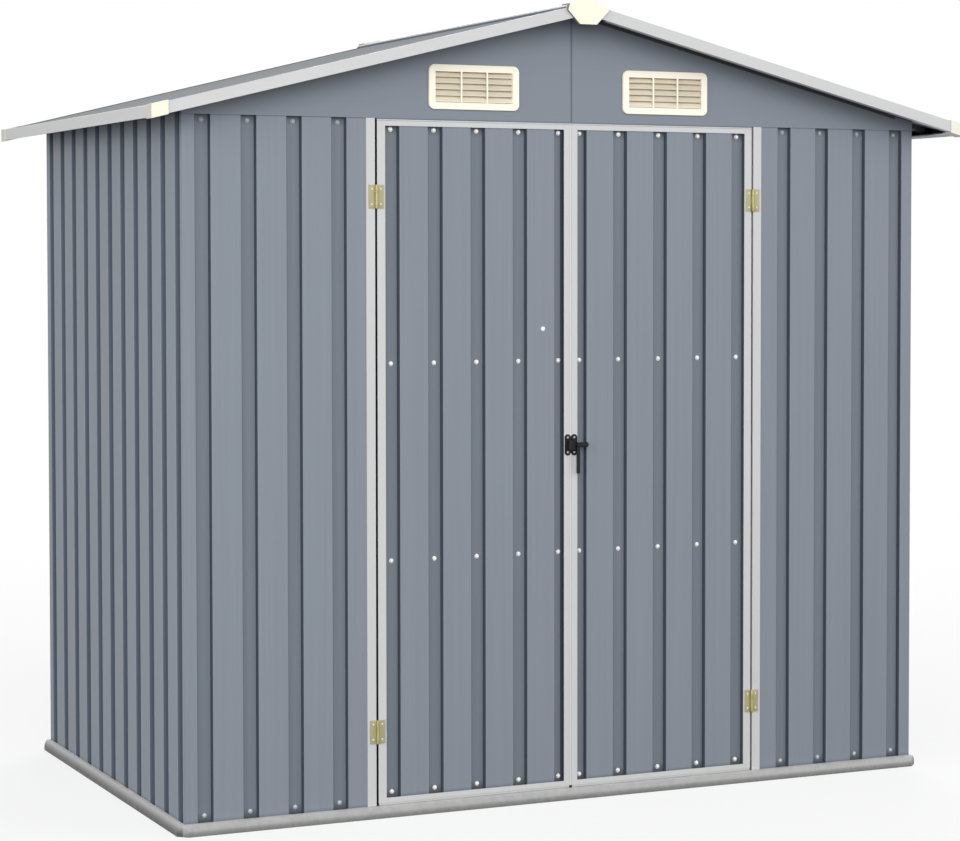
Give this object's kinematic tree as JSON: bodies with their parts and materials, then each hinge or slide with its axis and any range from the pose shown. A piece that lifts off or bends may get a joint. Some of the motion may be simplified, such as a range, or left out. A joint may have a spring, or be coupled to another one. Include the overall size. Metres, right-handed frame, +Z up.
{
  "type": "metal storage shed",
  "caption": "Low-gabled garden storage shed of grooved painted steel sheet with louvred gable vents and a pair of framed doors that swing outwards.",
  "frame": {"origin": "on the ground under the middle of the roof", "axes": "+X along the width, to the right of someone who faces the doors; +Y towards the rear; +Z up. The doors face -Y."},
  "size_m": [1.9804, 1.2724, 1.7833],
  "materials": {
    "wall_sheet": "satin",
    "trim": "satin",
    "base_rail": "satin",
    "zinc": "satin",
    "cream_plastic": "satin",
    "hinge_brass": "satin",
    "latch_black": "satin"
  },
  "bodies": {
    "shell": {"base_front": "base_rail", "base_rear": "base_rail", "base_left": "base_rail", "base_right": "base_rail", "front_wall_left": "wall_sheet", "front_wall_right": "wall_sheet", "left_wall": "wall_sheet", "right_wall": "wall_sheet", "rear_wall_left": "wall_sheet", "rear_wall_right": "wall_sheet", "top_rail_front": "zinc", "top_rail_rear": "zinc", "side_top_rails": "zinc", "ridge_beam": "zinc", "gable_front_left": "wall_sheet", "gable_front_right": "wall_sheet", "gable_rear_left": "wall_sheet", "gable_rear_right": "wall_sheet", "front_vents": "cream_plastic", "rear_vents": "cream_plastic", "roof_left": "wall_sheet", "roof_right": "wall_sheet", "ridge_cap": "trim", "front_rake_trims": "trim", "rear_rake_trims": "trim", "eave_trims": "trim", "corner_caps": "cream_plastic", "apex_caps": "cream_plastic", "door_jambs": "trim", "door_header": "zinc", "left_hinge_frame_leaves": "hinge_brass", "right_hinge_frame_leaves": "hinge_brass"},
    "left_door": {"left_door_panel": "wall_sheet", "left_hinge_stile": "trim", "left_meeting_stile": "trim", "left_door_rails": "trim", "left_hinge_door_leaves": "hinge_brass", "latch_keeper": "latch_black"},
    "right_door": {"right_door_panel": "wall_sheet", "right_hinge_stile": "trim", "right_meeting_stile": "trim", "right_door_rails": "trim", "right_hinge_door_leaves": "hinge_brass", "latch_body": "latch_black"},
    "handle": {"latch_handle": "latch_black"}
  },
  "joints": [
    {"name": "left_door_swing", "type": "hinge", "parent": "shell", "child": "left_door", "pos_m": [-0.4655, -0.5497, 0], "axis": [0, 0, -1], "range_deg": [0, 165]},
    {"name": "right_door_swing", "type": "hinge", "parent": "shell", "child": "right_door", "pos_m": [0.4655, -0.5497, 0], "axis": [0, 0, 1], "range_deg": [0, 165]},
    {"name": "latch_handle_turn", "type": "hinge", "parent": "right_door", "child": "handle", "pos_m": [0.0205, -0.5567, 0.797], "axis": [-1, 0, 0], "range_deg": [0, 90]}
  ]
}
